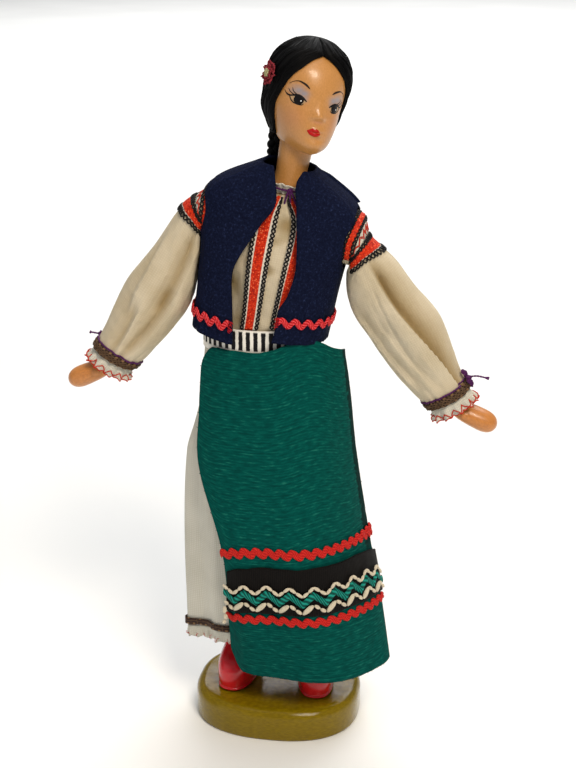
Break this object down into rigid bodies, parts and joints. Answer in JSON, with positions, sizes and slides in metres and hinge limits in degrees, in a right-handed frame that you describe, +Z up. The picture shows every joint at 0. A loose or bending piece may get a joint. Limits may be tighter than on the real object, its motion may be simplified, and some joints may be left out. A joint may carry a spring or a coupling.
{
  "type": "folk costume doll",
  "caption": "Jointed plastic doll in a sewn folk costume with vest, apron and full sleeves, standing on an oval base; the head and both arms turn.",
  "frame": {"origin": "centre of the stand's underside", "axes": "+Z up; the doll faces -Y and its left arm is on +X"},
  "size_m": [0.1774, 0.0656, 0.2905],
  "materials": {
    "stand_lacquer": "high gloss",
    "boot_red": "high gloss",
    "skin_plastic": "semi gloss, painted face",
    "peg_wood": "raw",
    "plug_plastic": "matte",
    "hair_black": "combed, silky",
    "flower_red": "matte cloth",
    "flower_yellow": "matte cloth",
    "blouse_cotton": "plain weave",
    "collar_cotton": "plain weave",
    "thread_purple": "twisted thread",
    "ribbon_red": "embroidered ribbon",
    "vest_felt": "felt",
    "rickrack_coral": "woven braid",
    "waistband_white": "striped ribbon",
    "underskirt_cotton": "plain weave",
    "band_brown": "patterned ribbon",
    "edging_white": "gathered cotton",
    "apron_wool": "slubbed weave",
    "rickrack_red": "woven braid",
    "band_black": "ribbon",
    "chain_cream": "beaded chain stitch",
    "braid_teal": "woven braid"
  },
  "bodies": {
    "figure": {"stand": "stand_lacquer", "boot_left": "boot_red", "boot_right": "boot_red", "leg_left": "skin_plastic", "leg_right": "skin_plastic", "torso_front": "skin_plastic", "torso_back": "skin_plastic", "foot_peg_left": "peg_wood", "foot_peg_right": "peg_wood", "blouse_body": "blouse_cotton", "blouse_collar": "collar_cotton", "neck_tie": "thread_purple", "placket_ribbon_left": "ribbon_red", "placket_ribbon_right": "ribbon_red", "vest": "vest_felt", "vest_rickrack": "rickrack_coral", "waistband": "waistband_white", "underskirt": "underskirt_cotton", "underskirt_hem_band": "band_brown", "underskirt_edging": "edging_white", "apron": "apron_wool", "apron_rickrack_upper": "rickrack_red", "apron_rickrack_lower": "rickrack_red", "apron_black_band": "band_black", "apron_chain_upper": "chain_cream", "apron_chain_lower": "chain_cream", "apron_green_braid": "braid_teal"},
    "head": {"head": "skin_plastic", "neck_plug": "plug_plastic", "hair_cap": "hair_black", "braid": "hair_black", "flower_petals": "flower_red", "flower_centre": "flower_yellow"},
    "arm_left": {"arm_left": "skin_plastic", "shoulder_plug_left": "plug_plastic", "sleeve_left": "blouse_cotton", "sleeve_zigzag_left": "collar_cotton", "cuff_tie_left": "thread_purple", "sleeve_ribbon_upper_left": "ribbon_red", "sleeve_ribbon_lower_left": "ribbon_red", "cuff_band_left": "band_brown", "cuff_frill_left": "edging_white"},
    "arm_right": {"arm_right": "skin_plastic", "shoulder_plug_right": "plug_plastic", "sleeve_right": "blouse_cotton", "sleeve_zigzag_right": "collar_cotton", "cuff_tie_right": "thread_purple", "sleeve_ribbon_upper_right": "ribbon_red", "sleeve_ribbon_lower_right": "ribbon_red", "cuff_band_right": "band_brown", "cuff_frill_right": "edging_white"}
  },
  "joints": [
    {"name": "neck_swivel", "type": "hinge", "parent": "figure", "child": "head", "pos_m": [0.00386, 0, 0.23189], "axis": [0.172, 0.1392, 0.9752], "range_deg": [-75, 25], "deforming": ["braid"]},
    {"name": "shoulder_left", "type": "hinge", "parent": "figure", "child": "arm_left", "pos_m": [0.02626, 0, 0.21493], "axis": [-0.9848, 0, 0.1736], "range_deg": [-35, 70]},
    {"name": "shoulder_right", "type": "hinge", "parent": "figure", "child": "arm_right", "pos_m": [-0.02298, 0, 0.22361], "axis": [-0.9848, 0, 0.1736], "range_deg": [-35, 70]}
  ]
}
